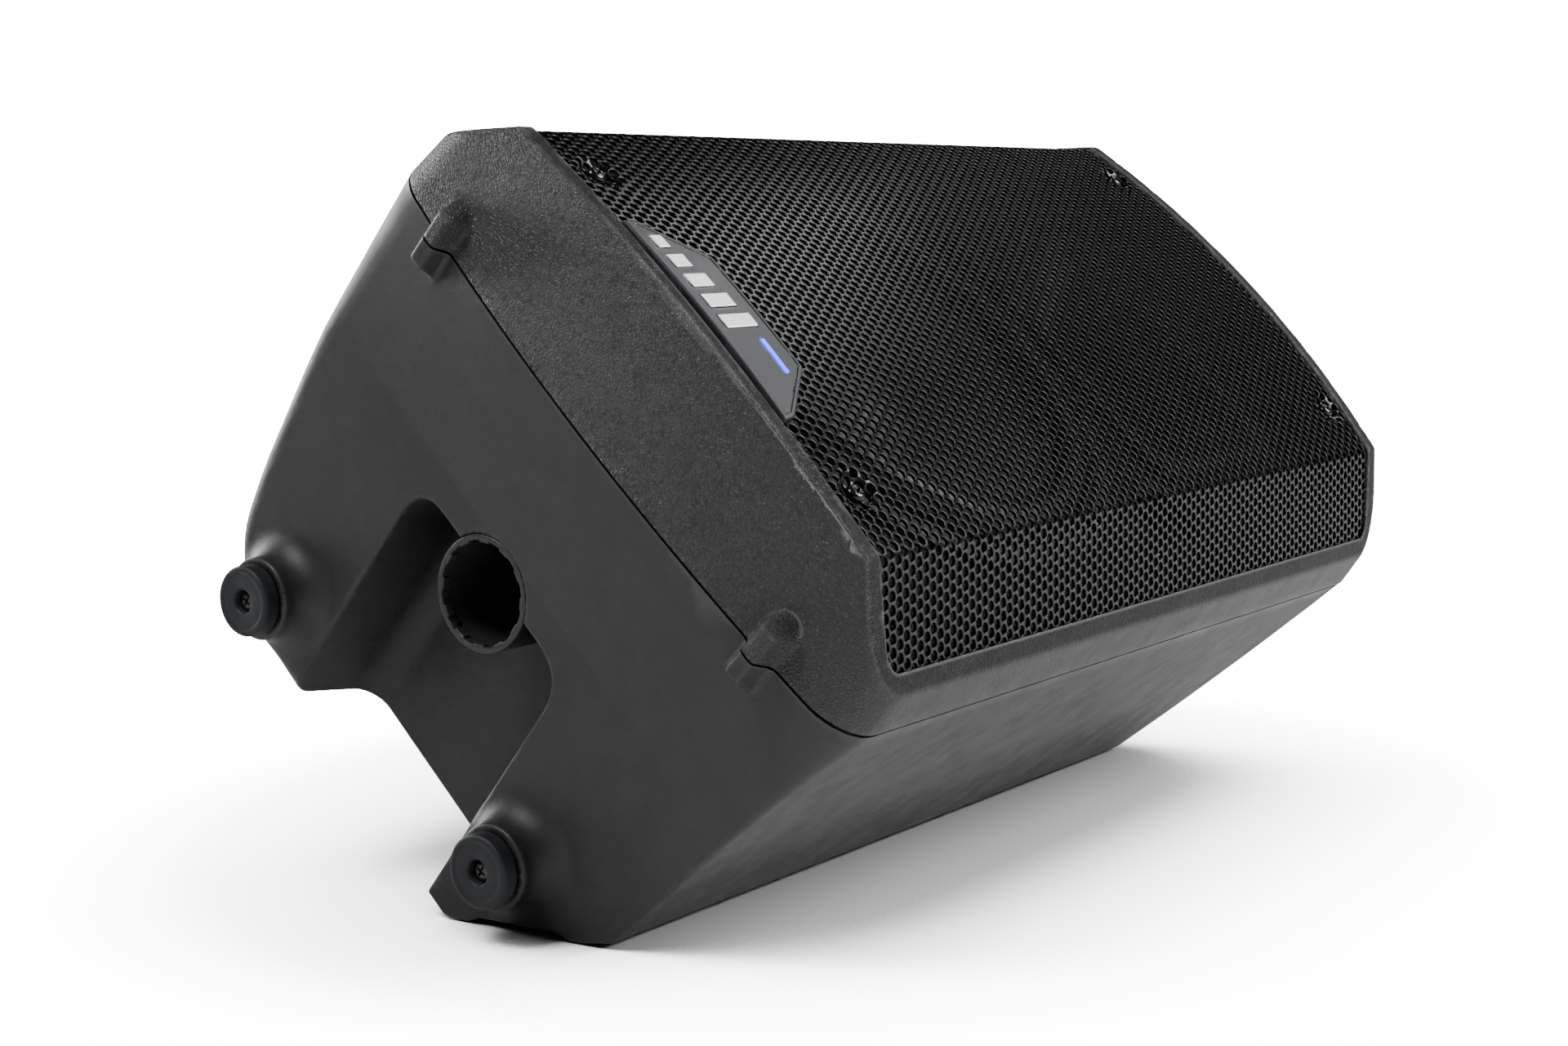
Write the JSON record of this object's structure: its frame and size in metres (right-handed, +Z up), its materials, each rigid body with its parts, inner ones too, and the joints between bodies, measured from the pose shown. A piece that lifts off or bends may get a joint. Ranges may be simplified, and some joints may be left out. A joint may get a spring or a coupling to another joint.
{
  "type": "stage monitor wedge",
  "caption": "Small powered two-way stage monitor wedge lying on its angled facet, with grille, pole socket, carrying handle, drivers and rear amplifier panel.",
  "frame": {"origin": "centre of the pole socket mouth, with the wedge lying on its monitor facet", "axes": "+X along the cabinet from the pole socket to the handle end, +Z up, -Y towards the audience side, which the grille faces at 45 degrees upwards"},
  "size_m": [0.4323, 0.2867, 0.2778],
  "materials": {
    "shell_plastic": "fine satin grain, moulded charcoal",
    "baffle_plastic": "leather-like moulded grain, charcoal",
    "grille_steel": "semi-gloss black powder coat",
    "black_foam": "matt black",
    "black_screws": "black oxide",
    "zinc_screws": "dark zinc",
    "badge_plastic": "satin",
    "silver_inlay": "satin silver",
    "blue_light": "lit blue lens",
    "foot_rubber": "moulded rubber",
    "painted_steel": "black paint",
    "surround_rubber": "soft rubber",
    "cone_paper": "pressed paper pulp",
    "copper": "enamelled wire",
    "spider_cloth": "varnished cloth",
    "plated_steel": "zinc plated",
    "ferrite": "ground ferrite",
    "horn_plastic": "satin black",
    "diaphragm_metal": "bright foil",
    "damping_felt": "loose fibre felt",
    "black_aluminium": "black anodised",
    "circuit_board": "solder mask",
    "socket_plastic": "glass-filled nylon",
    "latch_metal": "pressed steel",
    "knob_plastic": "satin black",
    "button_plastic": "light grey",
    "status_lens": "tinted lens",
    "cable_sheath": "soft PVC"
  },
  "bodies": {
    "cabinet": {"rear_shell": "shell_plastic", "front_baffle": "baffle_plastic", "seam_gasket": "black_foam", "baffle_screws": "black_screws", "grille": "grille_steel", "grille_screws": "black_screws", "badge_plate": "badge_plastic", "badge_emblem": "silver_inlay", "badge_light": "blue_light", "pole_socket": "shell_plastic", "rear_feet": "foot_rubber", "foot_screws": "zinc_screws", "carry_handle": "baffle_plastic", "handle_screws": "black_screws", "woofer_gasket": "black_foam", "woofer_basket": "painted_steel", "woofer_screws": "black_screws", "woofer_trim_ring": "black_foam", "woofer_surround": "surround_rubber", "woofer_spider": "spider_cloth", "woofer_top_plate": "plated_steel", "woofer_magnet": "ferrite", "woofer_back_plate": "plated_steel", "horn": "horn_plastic", "horn_screws": "black_screws", "tweeter_motor": "ferrite", "tweeter_cover": "horn_plastic", "port_tubes": "horn_plastic", "damping_pads": "damping_felt", "amp_panel": "painted_steel", "panel_gasket": "black_foam", "panel_screws": "black_screws", "heat_sink": "black_aluminium", "heat_sink_screws": "black_screws", "power_board": "circuit_board", "amp_board": "circuit_board", "input_board": "circuit_board", "input_sockets": "socket_plastic", "output_socket": "socket_plastic", "gain_pots": "plated_steel", "pot_nuts": "plated_steel", "mode_switch": "socket_plastic", "status_lights": "status_lens", "power_switch": "socket_plastic", "mains_inlet": "socket_plastic", "speaker_leads": "cable_sheath"},
    "woofer_moving_parts": {"woofer_cone": "cone_paper", "woofer_dust_cap": "cone_paper", "woofer_voice_coil": "copper"},
    "tweeter_moving_parts": {"tweeter_diaphragm": "diaphragm_metal"},
    "gain_1": {"gain_shaft_1": "plated_steel", "gain_knob_1": "knob_plastic"},
    "gain_2": {"gain_shaft_2": "plated_steel", "gain_knob_2": "knob_plastic"},
    "latch_1": {"input_latch_1": "latch_metal"},
    "latch_2": {"input_latch_2": "latch_metal"},
    "mode_button": {"mode_button": "button_plastic"},
    "power_rocker": {"power_rocker": "knob_plastic"},
    "fuse_drawer": {"fuse_drawer": "socket_plastic"}
  },
  "joints": [
    {"name": "woofer_travel", "type": "slide", "parent": "cabinet", "child": "woofer_moving_parts", "axis": [0, -0.7071, 0.7071], "range_m": [-0.004, 0.004], "deforming": ["woofer_surround", "woofer_spider"]},
    {"name": "tweeter_travel", "type": "slide", "parent": "cabinet", "child": "tweeter_moving_parts", "axis": [0, -0.7071, 0.7071], "range_m": [-0.0003, 0.0003]},
    {"name": "gain_1_turn", "type": "hinge", "parent": "cabinet", "child": "gain_1", "pos_m": [0.296, 0.08188, -0.03663], "axis": [0, 0.7071, -0.7071], "range_deg": [-140, 140]},
    {"name": "gain_2_turn", "type": "hinge", "parent": "cabinet", "child": "gain_2", "pos_m": [0.296, 0.0437, -0.07481], "axis": [0, 0.7071, -0.7071], "range_deg": [-140, 140]},
    {"name": "latch_1_press", "type": "slide", "parent": "cabinet", "child": "latch_1", "axis": [0, -0.7071, 0.7071], "range_m": [0, 0.0013]},
    {"name": "latch_2_press", "type": "slide", "parent": "cabinet", "child": "latch_2", "axis": [0, -0.7071, 0.7071], "range_m": [0, 0.0013]},
    {"name": "mode_button_press", "type": "slide", "parent": "cabinet", "child": "mode_button", "axis": [0, -0.7071, 0.7071], "range_m": [0, 0.002]},
    {"name": "power_rocker_tilt", "type": "hinge", "parent": "cabinet", "child": "power_rocker", "pos_m": [0.084, 0.03493, -0.07736], "axis": [1, 0, 0], "range_deg": [0, 14]},
    {"name": "fuse_drawer_pull", "type": "slide", "parent": "cabinet", "child": "fuse_drawer", "axis": [0, 0.7071, -0.7071], "range_m": [0, 0.018]}
  ]
}
